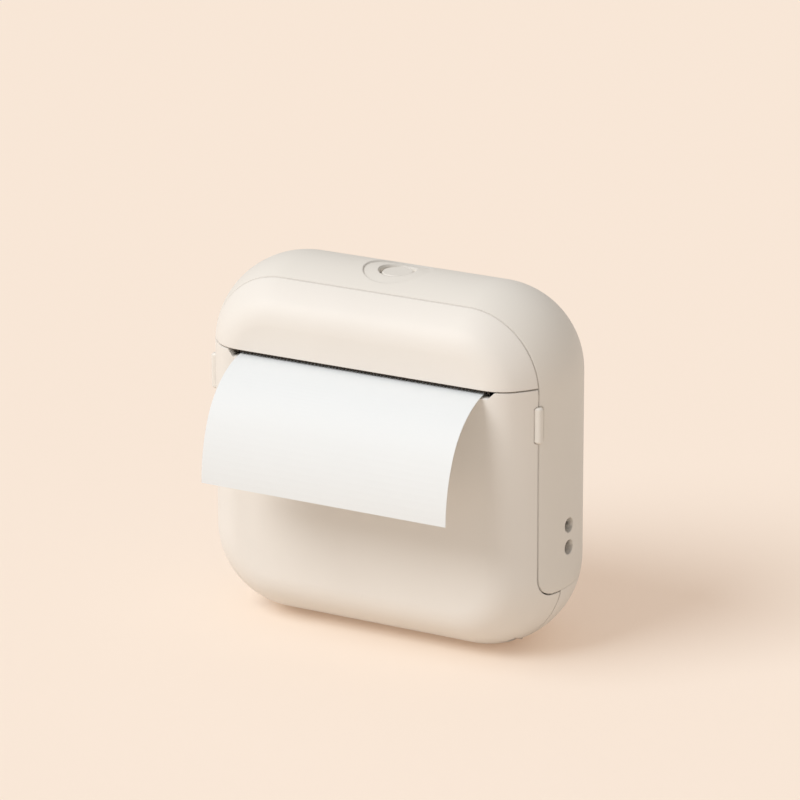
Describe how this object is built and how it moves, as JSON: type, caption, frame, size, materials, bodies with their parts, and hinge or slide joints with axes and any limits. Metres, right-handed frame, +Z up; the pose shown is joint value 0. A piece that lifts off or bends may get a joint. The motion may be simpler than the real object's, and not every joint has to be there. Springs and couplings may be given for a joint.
{
  "type": "pocket thermal printer",
  "caption": "Upright pocket thermal printer with crowned rounded housing, drop-down front cover, roll, geared platen, print head, power button, side tabs and strap holes.",
  "frame": {"origin": "middle of the flat base the printer stands on", "axes": "+X to the printer's left-hand viewer's right along its width, +Y to its back, +Z up"},
  "size_m": [0.08, 0.048, 0.0759],
  "materials": {
    "shell_ivory": "matt",
    "band_ivory": "matt",
    "paper": "uncoated look, stands in for paper",
    "core_card": "matt",
    "dark_plastic": "matt",
    "rubber": "matt",
    "steel": "satin",
    "dark_steel": "satin",
    "nylon": "satin",
    "alu": "satin",
    "ceramic": "smooth",
    "brass": "satin",
    "board_green": "smooth",
    "chip_black": "matt",
    "cell_wrap": "smooth"
  },
  "bodies": {
    "housing": {"rear_shell": "shell_ivory", "top_band": "band_ivory", "top_cap": "shell_ivory", "tear_bar": "dark_steel", "paper_web": "paper", "roll_cradle": "dark_plastic", "print_chassis": "dark_plastic", "head_spring": "steel", "idler_axle": "steel", "motor": "steel", "main_board": "board_green", "board_chips": "chip_black", "charge_socket": "steel", "battery_cell": "cell_wrap", "button_board": "board_green", "tact_switch": "chip_black", "hinge_pins": "steel", "casing_screws": "steel"},
    "cover": {"front_cover": "shell_ivory", "platen_bushings": "nylon", "paper_strip": "paper"},
    "platen": {"platen_rubber": "rubber", "platen_shaft": "steel", "platen_gear": "nylon"},
    "roll": {"paper_roll": "paper", "roll_core": "core_card"},
    "idler": {"idler_gear": "nylon"},
    "rotor": {"motor_shaft": "steel", "motor_pinion": "brass"},
    "print_head": {"head_sink": "alu", "head_strip": "ceramic", "head_pins": "steel"},
    "button": {"power_button": "band_ivory"},
    "release_right": {"tab_right": "band_ivory"},
    "release_left": {"tab_left": "band_ivory"}
  },
  "joints": [
    {"name": "cover_hinge", "type": "hinge", "parent": "housing", "child": "cover", "pos_m": [0, -0.00335, 0.003], "axis": [1, 0, 0], "range_deg": [0, 80]},
    {"name": "platen_spin", "type": "hinge", "parent": "cover", "child": "platen", "pos_m": [0, -0.0088, 0.05405], "axis": [1, 0, 0], "continuous": true},
    {"name": "idler_spin", "type": "hinge", "parent": "housing", "child": "idler", "pos_m": [0.031, 0.00128, 0.05399], "axis": [1, 0, 0], "continuous": true},
    {"name": "rotor_spin", "type": "hinge", "parent": "housing", "child": "rotor", "pos_m": [0.031, 0.0075, 0.0606], "axis": [1, 0, 0], "continuous": true},
    {"name": "roll_spin", "type": "hinge", "parent": "housing", "child": "roll", "pos_m": [0, -0.0012, 0.0326], "axis": [1, 0, 0], "continuous": true},
    {"name": "head_pivot", "type": "hinge", "parent": "housing", "child": "print_head", "pos_m": [0, 0.0008, 0.05658], "axis": [1, 0, 0], "range_deg": [-1, 0], "stiffness_Nm_per_rad": 0.5, "springref_deg": 1.15},
    {"name": "button_press", "type": "slide", "parent": "housing", "child": "button", "axis": [0, 0, -1], "range_m": [0, 0.0005], "stiffness_N_per_m": 300},
    {"name": "release_right_press", "type": "slide", "parent": "cover", "child": "release_right", "axis": [-1, 0, 0], "range_m": [0, 0.0006], "stiffness_N_per_m": 300},
    {"name": "release_left_press", "type": "slide", "parent": "cover", "child": "release_left", "axis": [1, 0, 0], "range_m": [0, 0.0006], "stiffness_N_per_m": 300}
  ],
  "couplings": [
    {"joint": "idler_spin", "follows": "platen_spin", "ratio": -0.66667},
    {"joint": "rotor_spin", "follows": "platen_spin", "ratio": 1.3333}
  ]
}
